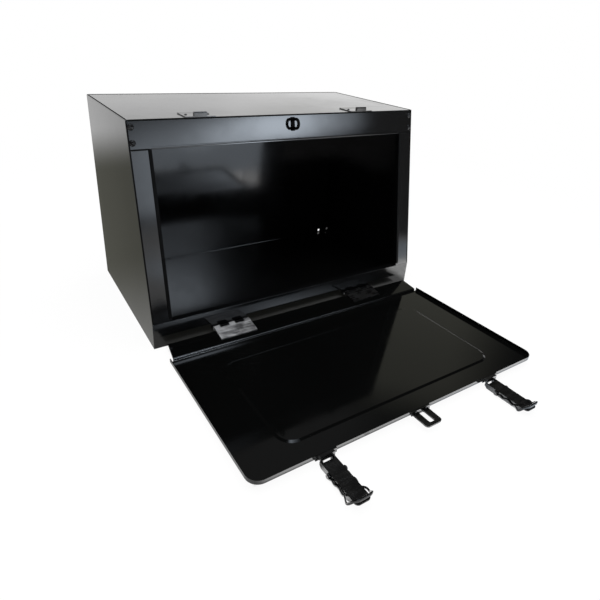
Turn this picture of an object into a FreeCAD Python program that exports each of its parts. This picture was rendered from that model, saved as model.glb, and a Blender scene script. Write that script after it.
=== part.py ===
import FreeCAD, Part
import math
import os

# Driving sizes, in millimetres and degrees.
# The box: a steel case whose front leans back above a vertical bottom rail.
box_width = 610.0
box_depth = 346.0
box_height = 390.0
front_lean = 65.0
sheet = 1.5
seam_round = 0.6
seam_gap = 0.4
rail_height = 47.0
rail_return = 18.0
rail_notch_gap = 1.0
stile_width = 36.0
stile_return = 10.0
tie_inset = 2.0
tie_width = 13.0
tie_reach = 42.0
tie_overlap = 30.0
bottom_rail_height = 49.0
bottom_rail_leg = 14.0
trim_width = 6.0
trim_thick = 0.8
trim_end_gap = 4.0
drain_radius = 3.5
drain_inset = 16.0
drain_height = 6.5

# Screws holding the top rail to the stiles.
screw_head_radius = 5.25
screw_head_height = 2.6
screw_shank_radius = 2.0
screw_inset = 7.0
screw_low = 11.0
screw_high = 35.5
fastener_gap = 0.05

# The door: a pressed tray that drops open on two hinges along its lower lip.
door_width = 588.0
rail_cover = 14.26
door_depth = 8.5
door_rim_gap = 2.5
door_start = 10.4
door_corner = 20.0
door_fold = 2.5
door_rest_angle = 1.6
lip_reach = 10.0
lip_width = 576.0
lip_taper = 3.5
lip_overlap = 12.0
step_round = 2.5
pressing_width = 446.0
pressing_start = 50.0
pressing_margin = 39.0
pressing_corner = 28.0
pressing_depth = 2.0
pressing_slope = 4.0

# Hinges.
hinge_spacing = 310.0
hinge_height = 12.8
hinge_pin_radius = 2.0
hinge_pin_gap = 0.05
hinge_pin_extra = 1.0
knuckle_radius = 4.5
knuckle_gap = 0.4
knuckle_long = 19.0
knuckle_short = 12.2
leaf_thick = 2.0
leaf_reach = 35.5
leaf_gap = 0.3
leaf_clear = 0.5
fixed_leaf_reach = 26.0

# Padlock hasp and staple.
hasp_width = 33.0
hasp_reach = 33.0
hasp_thick = 2.5
hasp_leg = 8.0
hasp_leg_width = 38.5
hasp_corner = 6.0
slot_length = 24.0
slot_width = 10.5
slot_centre = 15.0
staple_wire = 5.5
staple_height = 22.0
staple_reach = 23.5
staple_base_width = 6.5
staple_base_thick = 2.5
staple_base_extra = 1.5

# Strikes on the top panel.
latch_spacing = 346.0
latch_shift = -7.0
strike_width = 54.0
strike_depth = 40.0
strike_thick = 1.5
strike_setback = 0.5
strike_turn = 12.0
strike_lift = 0.3
strike_bend = 6.0
keeper_width = 23.0
keeper_depth = 6.0
keeper_height = 7.0
keeper_round = 2.0

# Latches.
latch_base_width = 36.0
latch_base_thick = 2.0
latch_base_height = 7.5
latch_base_set = 0.5
latch_block_width = 24.0
latch_block_depth = 4.0
latch_pivot_reach = 8.0
latch_pivot_depth = 5.0
ear_outer = 10.4
ear_thick = 2.8
ear_half = 2.7
lever_gap = 0.5
lever_wall = 1.6
lever_half = 4.5
lever_start = 4.0
lever_web_lead = 0.3
lever_wall_end = 69.0
lever_tip = 77.0
lever_round = 4.0
lever_tip_round = 6.0
latch_pin_radius = 1.5
latch_pin_extra = 0.2
bail_offset = 19.0
bail_gap = 0.5
bail_thick = 2.2
bail_half = 1.6
bail_length = 57.0
bail_rise = 11.5
bail_rise_length = 12.0
bail_wave = 1.6
bail_waves = 2
bail_bar_half = 2.2
bail_bar_thick = 3.0
bail_bar_round = 2.4
bail_eye_radius = 4.2
bail_pin_radius = 1.8
bail_pin_head_radius = 3.0
bail_pin_head = 0.8
bail_pin_gap = 0.3

# Rivets.
rivet_radius = 1.6
rivet_head_radius = 2.6
rivet_head_height = 1.4
strike_rivet_spacing = 40.0
strike_rivet_setback = 18.0
hasp_rivet_spacing = 22.0
latch_rivet_spacing = 29.0

path_steps = 36
match_share = 0.01
slot_round_share = 0.5
pressing_grow_share = 0.5

V = FreeCAD.Vector
X_AXIS = V(1, 0, 0)

half_width = box_width / 2
front_y = -box_depth / 2
back_y = box_depth / 2
front_rise = box_height - bottom_rail_height
lean_angle = math.atan2(front_lean, front_rise)
front_slant = math.hypot(front_lean, front_rise)
top_front_y = front_y + front_lean
pan_outer = door_rim_gap + door_depth
pan_inner = pan_outer - sheet
door_end = front_slant - rail_height + rail_cover
door_length = door_end - door_start
pressing_end = door_length - pressing_margin
lip_plane_y = front_y - leaf_gap - leaf_thick
hinge_y = front_y - leaf_gap - knuckle_radius
open_angle = 90 + math.degrees(lean_angle) - door_rest_angle
lever_outer = ear_outer + lever_gap + lever_wall
lever_inner = ear_outer + lever_gap
bail_inner = lever_outer + bail_gap
bail_outer = bail_inner + bail_thick
pivot_s = door_end + latch_pivot_reach
pivot_d = pan_outer + latch_pivot_depth
eye_s = pivot_s + bail_offset
latch_xs = {"left": latch_shift - latch_spacing / 2, "right": latch_shift + latch_spacing / 2}
hinge_xs = {"left": -hinge_spacing / 2, "right": hinge_spacing / 2}
sides = {"left": -1, "right": 1}


def span(x0, x1, y0, y1, z0, z1):
    """Box between two corners."""
    lo = V(min(x0, x1), min(y0, y1), min(z0, z1))
    return Part.makeBox(abs(x1 - x0), abs(y1 - y0), abs(z1 - z0), lo)


def rod(radius, start, end):
    """Round rod from one point to another."""
    run = end.sub(start)
    return Part.makeCylinder(radius, run.Length, start, run)


def domed(radius, height, base, axis):
    """Rivet or screw head: a slice of a ball standing on a base point."""
    ball = (radius * radius + height * height) / (2 * height)
    centre = V(base).add(V(axis).multiply(height - ball))
    cap = Part.makeSphere(ball, centre)
    drum = Part.makeCylinder(radius, height, base, axis)
    return cap.common(drum)


def join(shapes):
    """One solid from touching or overlapping shapes."""
    body = shapes[0]
    for other in shapes[1:]:
        body = body.fuse(other)
    return body.removeSplitter()


def ring(points):
    """Closed straight-sided face."""
    return Part.Face(Part.makePolygon(list(points) + [points[0]]))


def on_front(shape):
    """Move a shape drawn against an upright front onto the leaning front."""
    moved = shape.copy()
    turn = FreeCAD.Rotation(X_AXIS, -math.degrees(lean_angle))
    moved.Placement = FreeCAD.Placement(V(0, front_y, bottom_rail_height), turn).multiply(moved.Placement)
    return moved


def swung(shape):
    """Swing a closed door piece open about the hinge line."""
    moved = shape.copy()
    moved.rotate(V(0, hinge_y, hinge_height), X_AXIS, open_angle)
    return moved


def front_to_world(s, d):
    """Height up the slant and distance in front of it, as Y and Z."""
    y = front_y + s * math.sin(lean_angle) - d * math.cos(lean_angle)
    z = bottom_rail_height + s * math.cos(lean_angle) + d * math.sin(lean_angle)
    return y, z


def world_to_front(y, z):
    """Y and Z as height up the slant and distance in front of it."""
    dy = y - front_y
    dz = z - bottom_rail_height
    s = dy * math.sin(lean_angle) + dz * math.cos(lean_angle)
    d = dz * math.sin(lean_angle) - dy * math.cos(lean_angle)
    return s, d


def bent_path(points, radii):
    """Corner-rounded path: a list of straight and curved pieces, each a list of 2 or 3 points."""
    pieces = []
    last = points[0]
    for i in range(1, len(points) - 1):
        corner = points[i]
        into = corner.sub(points[i - 1]).normalize()
        away = points[i + 1].sub(corner).normalize()
        turn = math.acos(max(-1, min(1, into.dot(away))))
        radius = radii[i - 1]
        trim = radius * math.tan(turn / 2)
        first = corner.sub(V(into).multiply(trim))
        final = corner.add(V(away).multiply(trim))
        inward = V(away).sub(into).normalize()
        middle = corner.add(V(inward).multiply(radius / math.cos(turn / 2) - radius))
        pieces.append([last, first])
        pieces.append([first, middle, final])
        last = final
    pieces.append([last, points[-1]])
    return pieces


def offset_points(points, amount):
    """Mitred copy of a path in the YZ plane, shifted to its left as seen along +X."""
    normals = []
    for a, b in zip(points, points[1:]):
        run = b.sub(a).normalize()
        normals.append(V(0, -run.z, run.y))
    shifted = [points[0].add(V(normals[0]).multiply(amount))]
    for i in range(1, len(points) - 1):
        both = normals[i - 1].add(normals[i]).normalize()
        reach = amount / both.dot(normals[i])
        shifted.append(points[i].add(both.multiply(reach)))
    shifted.append(points[-1].add(V(normals[-1]).multiply(amount)))
    return shifted


def path_edges(pieces):
    """Edges of a corner-rounded path."""
    edges = []
    for piece in pieces:
        if len(piece) == 2:
            edges.append(Part.makeLine(piece[0], piece[1]))
        else:
            edges.append(Part.Arc(piece[0], piece[1], piece[2]).toShape())
    return edges


def folded(points, radii, thick, x0, x1):
    """Folded sheet: a YZ path given thickness on its left and drawn along X."""
    flat = [V(0, p[0], p[1]) for p in points]
    other = offset_points(flat, thick)
    turned = []
    for i in range(1, len(flat) - 1):
        a = flat[i].sub(flat[i - 1])
        b = flat[i + 1].sub(flat[i])
        left = a.y * b.z - a.z * b.y > 0
        turned.append(radii[i - 1] - thick if left else radii[i - 1] + thick)
    edges = path_edges(bent_path(flat, radii))
    edges.append(Part.makeLine(flat[-1], other[-1]))
    edges += path_edges(bent_path(other, turned))
    edges.append(Part.makeLine(other[0], flat[0]))
    face = Part.Face(Part.Wire(Part.__sortEdges__(edges)))
    face.translate(V(x0, 0, 0))
    return face.extrude(V(x1 - x0, 0, 0))


def rounded_outline(x0, x1, z0, z1, y, low_round, high_round):
    """Rectangle in an XZ plane with its lower and upper corners rounded."""
    corners = [(x0, z0, low_round), (x1, z0, low_round), (x1, z1, high_round), (x0, z1, high_round)]
    edges = []
    arcs = []
    for i, (cx, cz, radius) in enumerate(corners):
        px, pz, _ = corners[i - 1]
        nx, nz, _ = corners[(i + 1) % len(corners)]
        corner = V(cx, y, cz)
        into = V(px, y, pz).sub(corner).normalize()
        away = V(nx, y, nz).sub(corner).normalize()
        first = corner.add(V(into).multiply(radius))
        final = corner.add(V(away).multiply(radius))
        middle = corner.add(V(into).add(away).multiply(radius * (1 - math.sqrt(1 / 2))))
        arcs.append((first, middle, final, radius))
    for i, (first, middle, final, radius) in enumerate(arcs):
        if radius > 0:
            edges.append(Part.Arc(first, middle, final).toShape())
        edges.append(Part.makeLine(final, arcs[(i + 1) % len(arcs)][0]))
    return Part.Wire(edges)


def soften(shape, radius, wanted):
    """Round the edges a test picks out."""
    edges = [e for e in shape.Edges if wanted(e)]
    return shape.makeFillet(radius, edges)


def at(value, target):
    """Two lengths are the same to well within the sheet."""
    return abs(value - target) < sheet * match_share


def runs_x(edge):
    """A straight edge that runs along X."""
    box = edge.BoundBox
    return at(box.YLength, 0) and at(box.ZLength, 0)


parts = {}


def end_panel(side):
    """Flat end of the case, behind the front frame and under the top."""
    inner_s = sheet * (1 - math.cos(lean_angle)) / math.sin(lean_angle)
    knee = front_to_world(inner_s, -sheet)
    high = box_height - sheet
    top_s = (high - bottom_rail_height + sheet * math.sin(lean_angle)) / math.cos(lean_angle)
    high_front = front_to_world(top_s, -sheet)
    outline = [(front_y + sheet, 0), knee, high_front, (back_y - sheet, high), (back_y - sheet, 0)]
    outer = side * half_width
    inner = side * (half_width - sheet)
    body = ring([V(inner, y, z) for y, z in outline]).extrude(V(outer - inner, 0, 0))

    def rim(edge):
        box = edge.BoundBox
        flat = at(box.XLength, 0) and at(box.XMin, outer)
        return flat and not (at(box.ZMin, 0) and at(box.ZMax, 0))
    return soften(body, seam_round, rim)


def top_panel():
    """Flat top, laid over the ends, the back and the top rail."""
    front = top_front_y - sheet * math.tan(lean_angle)
    body = span(-half_width, half_width, front, back_y, box_height - sheet, box_height)

    def rim(edge):
        box = edge.BoundBox
        return at(box.ZMin, box_height) and at(box.ZLength, 0)
    return soften(body, seam_round, rim)


def back_panel():
    """Flat back with the drain hole low in its right corner."""
    body = span(-half_width, half_width, back_y - sheet, back_y, 0, box_height - sheet)
    hole_x = half_width - drain_inset
    inner = V(hole_x, back_y - sheet - sheet, drain_height)
    outer = V(hole_x, back_y + sheet, drain_height)
    hole = rod(drain_radius, inner, outer)
    return body.cut(hole)


def bottom_panel():
    """Flat floor between the ends."""
    inside = half_width - sheet
    return span(-inside, inside, front_y + sheet, back_y - sheet, 0, sheet)


def above_cut(shape, height):
    """Trim everything above a height."""
    reach = box_width + box_depth
    return shape.cut(span(-reach, reach, -reach, reach, height, height + reach))


def below_cut(shape, height):
    """Trim everything below a height."""
    reach = box_width + box_depth
    return shape.cut(span(-reach, reach, -reach, reach, height - reach, height))


def screw_spots():
    """Where the rail screws stand: X and height up the slant."""
    low = front_slant - rail_height + screw_low
    high = front_slant - rail_height + screw_high
    return [(side * (half_width - screw_inset), s) for side in (-1, 1) for s in (low, high)]


def top_rail():
    """Rail over the opening: a face with a return along its lower edge."""
    low = front_slant - rail_height
    face = span(-half_width, half_width, 0, sheet, low, front_slant + sheet)
    mouth = half_width - stile_width - rail_notch_gap
    lip = span(-mouth, mouth, 0, rail_return, low, low + sheet)
    body = join([face, lip])
    for x, s in screw_spots():
        shank = rod(screw_shank_radius + fastener_gap, V(x, -rail_return, s), V(x, rail_return, s))
        body = body.cut(shank)
    body = above_cut(on_front(body), box_height - sheet)
    return body


def stile(side):
    """Upright of the front frame with a return at the opening and a tie behind the top rail."""
    top = front_slant - rail_height - seam_gap
    outer = side * half_width
    mouth = side * (half_width - stile_width)
    face = span(mouth, outer, 0, sheet, -sheet, top)
    lip = span(mouth, mouth + side * sheet, 0, stile_return, -sheet, top)
    tie_out = outer - side * tie_inset
    tie_in = tie_out - side * tie_width
    tie = span(tie_in, tie_out, sheet, sheet + sheet, top - tie_overlap, top + tie_reach)
    body = join([face, lip, tie])
    for x, s in screw_spots():
        shank = rod(screw_shank_radius + fastener_gap, V(x, -rail_return, s), V(x, rail_return, s))
        body = body.cut(shank)
    return below_cut(on_front(body), bottom_rail_height)


def fixed_knuckles(centre):
    """X spans of the two fixed knuckles of a hinge."""
    first = centre - knuckle_short / 2 - knuckle_long
    second = centre + knuckle_short / 2
    inset = knuckle_gap / 2
    return [(x + inset, x + knuckle_long - inset) for x in (first, second)]


def door_knuckles(centre):
    """X spans of the three door knuckles of a hinge."""
    pitch = knuckle_long + knuckle_short
    inset = knuckle_gap / 2
    starts = [centre + k * pitch - knuckle_short / 2 for k in (-1, 0, 1)]
    return [(x + inset, x + knuckle_short - inset) for x in starts]


def bottom_rail():
    """Vertical rail under the opening, folded in along its top and foot, slotted for the hinges."""
    inside = half_width - sheet - seam_gap
    face = span(-half_width, half_width, front_y, front_y + sheet, 0, bottom_rail_height)
    reach = front_y + bottom_rail_leg
    head = span(-inside, inside, front_y, reach, bottom_rail_height - sheet, bottom_rail_height)
    foot = span(-inside, inside, front_y, reach, sheet, sheet + sheet)
    body = join([face, head, foot])

    def brow(edge):
        box = edge.BoundBox
        return runs_x(edge) and at(box.YMin, front_y) and at(box.ZMin, bottom_rail_height)
    body = soften(body, seam_round, brow)
    low = hinge_height - knuckle_radius - seam_gap
    high = hinge_height - knuckle_radius + leaf_thick + seam_gap
    for centre in hinge_xs.values():
        for x0, x1 in fixed_knuckles(centre):
            body = body.cut(span(x0 - seam_gap, x1 + seam_gap, front_y - sheet, front_y + sheet, low, high))
    return body


def stile_trim():
    """Dark edging strips along both sides of the opening."""
    top = front_slant - rail_height - trim_end_gap
    strips = []
    for side in (-1, 1):
        mouth = side * (half_width - stile_width)
        strips.append(on_front(span(mouth, mouth + side * trim_width, -trim_thick, 0, trim_end_gap, top)))
    return strips


def rail_screws():
    """Domed screws at the ends of the top rail."""
    made = []
    outward = V(0, -1, 0)
    for x, s in screw_spots():
        head = domed(screw_head_radius, screw_head_height, V(x, 0, s), outward)
        shank = rod(screw_shank_radius, V(x, 0, s), V(x, sheet + sheet, s))
        made.append(on_front(join([head, shank])))
    return made


def strike(centre):
    """Keeper plate on the top panel, its tail turned up and its block standing at the front."""
    start = top_front_y + strike_setback
    tail = start + strike_depth
    floor = box_height
    path = [(start, floor), (tail - strike_turn, floor), (tail, floor + strike_lift)]
    plate = folded(path, [strike_bend], strike_thick, centre - strike_width / 2, centre + strike_width / 2)
    crown = floor + strike_thick + keeper_height
    half = keeper_width / 2
    block = span(centre - half, centre + half, start, start + keeper_depth, floor, crown)

    def top_edge(edge):
        box = edge.BoundBox
        return at(box.ZMin, crown) and at(box.ZLength, 0)
    block = soften(block, keeper_round, top_edge)
    body = join([plate, block])
    for x, y in strike_rivet_spots(centre):
        body = body.cut(rod(rivet_radius + fastener_gap, V(x, y, floor - keeper_height), V(x, y, crown)))
    return body


def strike_rivet_spots(centre):
    """Where a strike is riveted to the top panel."""
    y = top_front_y + strike_setback + strike_rivet_setback
    half = strike_rivet_spacing / 2
    return [(centre - half, y), (centre + half, y)]


def strike_rivets():
    """Rivets of both strikes."""
    made = []
    up = V(0, 0, 1)
    for centre in latch_xs.values():
        for x, y in strike_rivet_spots(centre):
            deck = box_height + strike_thick
            head = domed(rivet_head_radius, rivet_head_height, V(x, y, deck), up)
            shank = rod(rivet_radius, V(x, y, box_height - sheet), V(x, y, deck))
            made.append(join([head, shank]))
    return made


def padlock_staple():
    """Bent-rod loop standing out from the top rail on a base bar, its plane upright."""
    s_mid = door_end + slot_centre
    radius = staple_wire / 2
    bend = staple_height / 2 - radius
    straight = staple_reach - radius - bend
    low = V(0, 0, s_mid - bend)
    high = V(0, 0, s_mid + bend)
    out = V(0, -straight, 0)
    crown = V(0, -straight - bend, s_mid)
    edges = [
        Part.makeLine(low, low.add(out)),
        Part.Arc(low.add(out), crown, high.add(out)).toShape(),
        Part.makeLine(high.add(out), high),
    ]
    section = Part.Wire(Part.makeCircle(radius, low, V(0, -1, 0)))
    loop = Part.Wire(edges).makePipeShell([section], True, False)
    half = staple_base_width / 2
    reach = staple_height / 2 + staple_base_extra
    bar = span(-half, half, -staple_base_thick, 0, s_mid - reach, s_mid + reach)
    return on_front(join([loop, bar]))


def hinge_fixed_leaf(centre):
    """Leaf behind the bottom rail, its two knuckles standing through the rail."""
    x0 = door_knuckles(centre)[0][0]
    x1 = door_knuckles(centre)[-1][1]
    low = hinge_height - knuckle_radius
    inside = front_y + sheet
    shapes = [span(x0, x1, inside, inside + leaf_thick, low, low + fixed_leaf_reach)]
    for a, b in fixed_knuckles(centre):
        shapes.append(span(a, b, hinge_y, inside + leaf_thick, low, low + leaf_thick))
        shapes.append(rod(knuckle_radius, V(a, hinge_y, hinge_height), V(b, hinge_y, hinge_height)))
    body = join(shapes)
    bore = hinge_pin_radius + hinge_pin_gap
    return body.cut(rod(bore, V(x0, hinge_y, hinge_height), V(x1, hinge_y, hinge_height)))


def hinge_pin(centre):
    """Pin through the five knuckles."""
    x0 = door_knuckles(centre)[0][0] - hinge_pin_extra
    x1 = door_knuckles(centre)[-1][1] + hinge_pin_extra
    return rod(hinge_pin_radius, V(x0, hinge_y, hinge_height), V(x1, hinge_y, hinge_height))


def hinge_door_leaf(centre):
    """Leaf on the inner face of the door lip with three knuckles."""
    spans = door_knuckles(centre)
    x0 = spans[0][0]
    x1 = spans[-1][1]
    near = hinge_height + knuckle_radius + leaf_clear
    far = hinge_height + leaf_reach
    shapes = [span(x0, x1, lip_plane_y, lip_plane_y + leaf_thick, near, far)]
    for a, b in spans:
        shapes.append(span(a, b, lip_plane_y, lip_plane_y + leaf_thick, hinge_height, near))
        shapes.append(rod(knuckle_radius, V(a, hinge_y, hinge_height), V(b, hinge_y, hinge_height)))
    body = join(shapes)
    bore = hinge_pin_radius + hinge_pin_gap
    body = body.cut(rod(bore, V(x0, hinge_y, hinge_height), V(x1, hinge_y, hinge_height)))
    return swung(body)


def tray(half, start, end, outer, rim, corner, fold):
    """Round-cornered block whose outer face is rounded along its sides and free edge."""
    wire = rounded_outline(-half, half, start, end, -outer, 0, corner)
    body = Part.Face(wire).extrude(V(0, outer - rim, 0))

    def bottom(edge):
        box = edge.BoundBox
        on_face = at(box.YMin, -outer) and at(box.YLength, 0)
        return on_face and not (at(box.ZMin, start) and at(box.ZLength, 0))
    return soften(body, fold, bottom)


def pressing(face_d, grow):
    """Field of the door, pressed toward its inner side, as a sloping block between two outlines."""
    half = pressing_width / 2 + grow
    low = door_start + pressing_start - grow
    high = door_start + pressing_end + grow
    slope = pressing_slope
    corner = pressing_corner
    wide = rounded_outline(-half, half, low, high, -face_d, corner, corner)
    small = rounded_outline(slope - half, half - slope, low + slope, high - slope, pressing_depth - face_d,
                            corner - slope, corner - slope)
    return Part.makeLoft([wide, small], True, True)


def door_pan():
    """Door sheet: tray with three rims, a pressed field, and a stepped lip along the hinge side."""
    half = door_width / 2
    outer = tray(half, door_start, door_end, pan_outer, door_rim_gap, door_corner, door_fold)
    inner = tray(half - sheet, door_start - door_depth, door_end - sheet, pan_inner, -door_depth,
                 door_corner - sheet, door_fold - sheet)
    body = outer.cut(inner)
    body = body.fuse(pressing(pan_inner, sheet * pressing_grow_share)).cut(pressing(pan_outer, 0))
    lip_s, lip_d = world_to_front(lip_plane_y, hinge_height + lip_reach)
    rise_d = lip_d + (door_start - lip_s) * math.tan(lean_angle)
    lapped = (-pan_inner, door_start + lip_overlap)
    path = [(-lip_d, lip_s), (-rise_d, door_start), (-pan_inner, door_start), lapped]
    strip = folded(path, [step_round, step_round - sheet], sheet, -lip_width / 2, lip_width / 2)
    for side in (-1, 1):
        edge = side * lip_width / 2
        far = V(edge, 0, door_start - step_round)
        wedge = [V(edge, 0, lip_s), V(edge - side * lip_taper, 0, lip_s), far]
        cutter = ring(wedge).extrude(V(0, -pan_outer - pan_outer, 0))
        cutter.translate(V(0, pan_outer, 0))
        strip = strip.cut(cutter)
    body = body.fuse(strip).removeSplitter()
    for x, d in hasp_rivet_spots() + latch_rivet_spots():
        near = V(x, -d, door_end - door_fold - sheet)
        body = body.cut(rod(rivet_radius + fastener_gap, near, V(x, -d, door_end + sheet)))
    return swung(on_front(body))


def hasp_rivet_spots():
    """X and depth of the hasp rivets on the free rim."""
    depth = door_rim_gap + (door_depth - hasp_thick) / 2
    half = hasp_rivet_spacing / 2
    return [(-half, depth), (half, depth)]


def latch_rivet_spots():
    """X and depth of the latch rivets on the free rim."""
    depth = door_rim_gap + (door_depth - door_fold) / 2
    half = latch_rivet_spacing / 2
    return [(centre + k * half, depth) for centre in latch_xs.values() for k in (-1, 1)]


def hasp_plate():
    """Right-angle hasp on the free rim with a slot for the staple."""
    half = hasp_width / 2
    inner = pan_outer - hasp_thick
    tip = door_end + hasp_reach
    wire = rounded_outline(-half, half, door_end, tip, -pan_outer, 0, hasp_corner)
    plate = Part.Face(wire).extrude(V(0, hasp_thick, 0))
    leg_half = hasp_leg_width / 2
    leg = span(-leg_half, leg_half, -pan_outer, hasp_leg - pan_outer, door_end, door_end + hasp_thick)
    body = join([plate, leg])
    mid = door_end + slot_centre
    reach = slot_length / 2
    wide = slot_width / 2
    curve = wide * slot_round_share
    slot_wire = rounded_outline(-wide, wide, mid - reach, mid + reach, -pan_outer - sheet, curve, curve)
    body = body.cut(Part.Face(slot_wire).extrude(V(0, pan_outer - inner + sheet + sheet, 0)))
    for x, d in hasp_rivet_spots():
        body = body.cut(rod(rivet_radius + fastener_gap, V(x, -d, door_end - sheet), V(x, -d, tip)))
    return swung(on_front(body))


def rim_rivets(spots, reach):
    """Rivets through the free rim, heads inside the tray."""
    made = []
    inside = door_end - sheet
    for x, d in spots:
        head = domed(rivet_head_radius, rivet_head_height, V(x, -d, inside), V(0, 0, -1))
        shank = rod(rivet_radius, V(x, -d, inside), V(x, -d, door_end + reach))
        made.append(swung(on_front(join([head, shank]))))
    return made


def latch_base(centre):
    """Foot of a latch on the free rim, with two ears that carry the lever."""
    half = latch_base_width / 2
    top = pan_outer - latch_base_set
    foot = door_end + latch_base_thick
    plate = span(centre - half, centre + half, -top, latch_base_height - top, door_end, foot)
    half = latch_block_width / 2
    depth_end = foot + latch_block_depth
    block = span(centre - half, centre + half, -top, latch_base_height - top, door_end, depth_end)
    shapes = [plate, block]
    for side in (-1, 1):
        outer = centre + side * ear_outer
        inner = outer - side * ear_thick
        shapes.append(span(inner, outer, -pivot_d - ear_half, latch_base_height - top, foot, depth_end))
        shapes.append(span(inner, outer, -pivot_d - ear_half, ear_half - pivot_d, foot, pivot_s))
        shapes.append(rod(ear_half, V(inner, -pivot_d, pivot_s), V(outer, -pivot_d, pivot_s)))
    body = join(shapes)
    bore = latch_pin_radius + fastener_gap
    body = body.cut(rod(bore, V(centre - half, -pivot_d, pivot_s), V(centre + half, -pivot_d, pivot_s)))
    for x, d in latch_rivet_spots():
        near = V(x, -d, door_end - sheet)
        body = body.cut(rod(rivet_radius + fastener_gap, near, V(x, -d, depth_end + sheet)))
    return swung(on_front(body))


def latch_pins(centre):
    """Stub pins in the ears that the lever turns on."""
    made = []
    for side in (-1, 1):
        inner = V(centre + side * (ear_outer - ear_thick), -pivot_d, pivot_s)
        outer = V(centre + side * (lever_outer + latch_pin_extra), -pivot_d, pivot_s)
        made.append(swung(on_front(rod(latch_pin_radius, inner, outer))))
    return made


def latch_lever(centre):
    """Channel lever: web toward the case, two walls, and a finger tongue."""
    start = pivot_s - lever_start
    walls_end = pivot_s + lever_wall_end
    tip = pivot_s + lever_tip
    near = lever_half - pivot_d
    far = -pivot_d - lever_half
    x0 = centre - lever_outer
    x1 = centre + lever_outer
    wire = rounded_outline(x0, x1, pivot_s + lever_web_lead, tip, near, 0, lever_tip_round)
    web = Part.Face(wire).extrude(V(0, -lever_wall, 0))
    shapes = [web]
    slope = lever_half + lever_half
    for side in (-1, 1):
        outer = centre + side * lever_outer
        inner = centre + side * lever_inner
        outline = [
            V(inner, near, start),
            V(inner, far + lever_round, start),
            V(inner, far, start + lever_round),
            V(inner, far, walls_end - slope),
            V(inner, near - lever_wall, walls_end),
            V(inner, near, walls_end),
        ]
        shapes.append(ring(outline).extrude(V(outer - inner, 0, 0)))
    body = join(shapes)
    reach = lever_outer + lever_outer
    bore = latch_pin_radius + fastener_gap
    body = body.cut(rod(bore, V(centre - reach, -pivot_d, pivot_s), V(centre + reach, -pivot_d, pivot_s)))
    hole = bail_pin_radius + fastener_gap
    body = body.cut(rod(hole, V(centre - reach, -pivot_d, eye_s), V(centre + reach, -pivot_d, eye_s)))
    return swung(on_front(body))


def bail_pins(centre):
    """Stub pins fixed in the lever walls, with heads outside the bail."""
    made = []
    for side in (-1, 1):
        inner = V(centre + side * lever_inner, -pivot_d, eye_s)
        neck = V(centre + side * (bail_outer + bail_pin_gap), -pivot_d, eye_s)
        cap = V(centre + side * (bail_outer + bail_pin_gap + bail_pin_head), -pivot_d, eye_s)
        body = join([rod(bail_pin_radius, inner, neck), rod(bail_pin_head_radius, neck, cap)])
        made.append(swung(on_front(body)))
    return made


def bail_line(share):
    """Point and direction on the centre line of a bail arm, as reach and rise from the eye."""
    reach = share * bail_length
    flat = bail_length - bail_rise_length
    wave = 0
    if reach < flat:
        turn = 2 * math.pi * bail_waves * reach / flat
        wave = bail_wave * math.sin(turn)
    lift = max(0, (reach - flat) / bail_rise_length)
    climb = bail_rise * lift * lift * (3 - 2 * lift)
    return reach, wave + climb


def bail_arm(x0, x1):
    """One waved arm of a bail that climbs at its far end."""
    points = [bail_line(i / path_steps) for i in range(path_steps + 1)]
    upper = []
    lower = []
    for i, (reach, rise) in enumerate(points):
        before = points[max(0, i - 1)]
        after = points[min(path_steps, i + 1)]
        run = V(0, after[1] - before[1], after[0] - before[0]).normalize()
        side = V(0, run.z, -run.y).multiply(bail_half)
        mid = V(x0, rise - pivot_d, eye_s + reach)
        upper.append(mid.add(side))
        lower.append(mid.sub(side))
    edges = []
    for row in (upper, lower):
        curve = Part.BSplineCurve()
        curve.interpolate(row)
        edges.append(curve.toShape())
    edges.append(Part.makeLine(upper[0], lower[0]))
    edges.append(Part.makeLine(upper[-1], lower[-1]))
    face = Part.Face(Part.Wire(Part.__sortEdges__(edges)))
    return face.extrude(V(x1 - x0, 0, 0))


def latch_bail(centre):
    """Sprung bail: two waved arms joined by a raised cross plate that hooks over the keeper."""
    shapes = []
    eye = V(0, -pivot_d, eye_s)
    for side in (-1, 1):
        x0 = centre + side * bail_inner
        x1 = centre + side * bail_outer
        shapes.append(bail_arm(x0, x1))
        shapes.append(rod(bail_eye_radius, V(x0, eye.y, eye.z), V(x1, eye.y, eye.z)))
    end = eye_s + bail_length
    mid = bail_rise - pivot_d
    half = bail_bar_thick / 2
    low = mid - bail_bar_half
    high = mid + bail_bar_half
    bar = span(centre - bail_outer, centre + bail_outer, low, high, end - half, end + half)

    def far_corner(edge):
        box = edge.BoundBox
        return at(box.XLength, 0) and at(box.ZMin, end + half) and at(box.ZLength, 0)
    shapes.append(soften(bar, bail_bar_round, far_corner))
    body = join(shapes)
    bore = bail_pin_radius + fastener_gap
    reach = bail_outer + bail_outer
    body = body.cut(rod(bore, V(centre - reach, eye.y, eye.z), V(centre + reach, eye.y, eye.z)))
    return swung(on_front(body))


def cut_fasteners(shape, spots):
    """Clear rivet holes through the top panel."""
    for x, y in spots:
        low = V(x, y, box_height - rail_height)
        high = V(x, y, box_height + rail_height)
        shape = shape.cut(rod(rivet_radius + fastener_gap, low, high))
    return shape


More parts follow.
